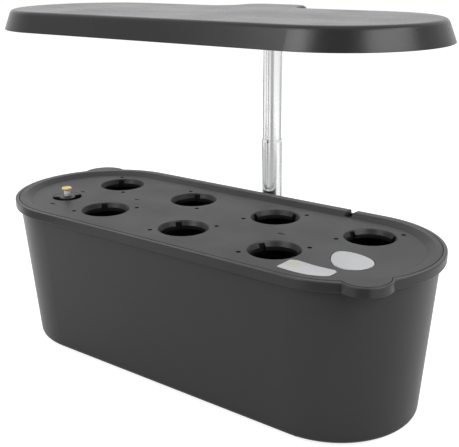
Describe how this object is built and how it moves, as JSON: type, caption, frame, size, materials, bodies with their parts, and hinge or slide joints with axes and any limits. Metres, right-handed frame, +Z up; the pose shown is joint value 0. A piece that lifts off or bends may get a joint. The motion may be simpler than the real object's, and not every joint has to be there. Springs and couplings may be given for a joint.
{
  "type": "countertop hydroponic garden",
  "caption": "Tapered long water tank with a lift-out planting deck, a telescopic rear mast and a wide flat grow lamp above it.",
  "frame": {"origin": "on the table, under the middle of the tank's length and width", "axes": "+X along the tank towards the control end, +Y towards the mast behind the tank, +Z up"},
  "size_m": [0.4, 0.1905, 0.295],
  "materials": {
    "tank_plastic": "satin moulded",
    "deck_plastic": "satin moulded",
    "lamp_plastic": "satin moulded",
    "black_plastic": "matt",
    "rubber": "matt",
    "gasket_rubber": "matt",
    "polished_tube": "polished",
    "steel": "zinc plated",
    "panel_white": "white solder mask on aluminium",
    "led_white": "phosphor",
    "led_red": "clear lens over red die",
    "led_blue": "clear lens over blue die",
    "key_silver": "silver painted",
    "gauge_white": "gloss",
    "gauge_yellow": "gloss",
    "float_foam": "closed-cell foam",
    "board_green": "solder mask",
    "ceramic_white": "ground",
    "cup_silicone": "translucent silicone"
  },
  "bodies": {
    "base": {"tank": "tank_plastic", "rubber_feet": "rubber", "mast_socket": "black_plastic", "socket_screws": "steel", "lower_tube": "polished_tube", "pump_case": "black_plastic", "pump_cover": "black_plastic", "pump_shaft": "ceramic_white", "pump_nozzle": "black_plastic", "suction_cups": "cup_silicone"},
    "lamp": {"upper_tube": "polished_tube", "tube_glide": "black_plastic", "tube_clamp": "black_plastic", "clamp_screws": "steel", "lamp_housing": "lamp_plastic", "led_panel": "panel_white", "white_leds": "led_white", "red_leds": "led_red", "blue_leds": "led_blue", "panel_screws": "steel", "lobe_cover": "lamp_plastic", "cover_screws": "steel"},
    "deck": {"deck": "deck_plastic", "float_guide": "deck_plastic", "control_gasket": "gasket_rubber", "control_case": "black_plastic", "control_board": "board_green", "key_switch": "black_plastic", "power_jack": "black_plastic", "case_screws": "steel"},
    "gauge": {"float_pin": "gauge_white", "float_cap": "gauge_yellow", "float_body": "float_foam"},
    "key": {"control_key": "key_silver"},
    "impeller": {"pump_impeller": "black_plastic"}
  },
  "joints": [
    {"name": "lamp_height", "type": "slide", "parent": "base", "child": "lamp", "axis": [0, 0, 1], "range_m": [0, 0.11]},
    {"name": "deck_lift", "type": "slide", "parent": "base", "child": "deck", "axis": [0, 0, 1], "range_m": [0, 0.11]},
    {"name": "gauge_rise", "type": "slide", "parent": "deck", "child": "gauge", "axis": [0, 0, 1], "range_m": [0, 0.018]},
    {"name": "key_press", "type": "slide", "parent": "deck", "child": "key", "axis": [0, 0, -1], "range_m": [0, 0.0008], "stiffness_N_per_m": 500, "springref_m": -0.001},
    {"name": "impeller_spin", "type": "hinge", "parent": "base", "child": "impeller", "pos_m": [0.127, 0, 0.0245], "axis": [1, 0, 0], "continuous": true}
  ]
}
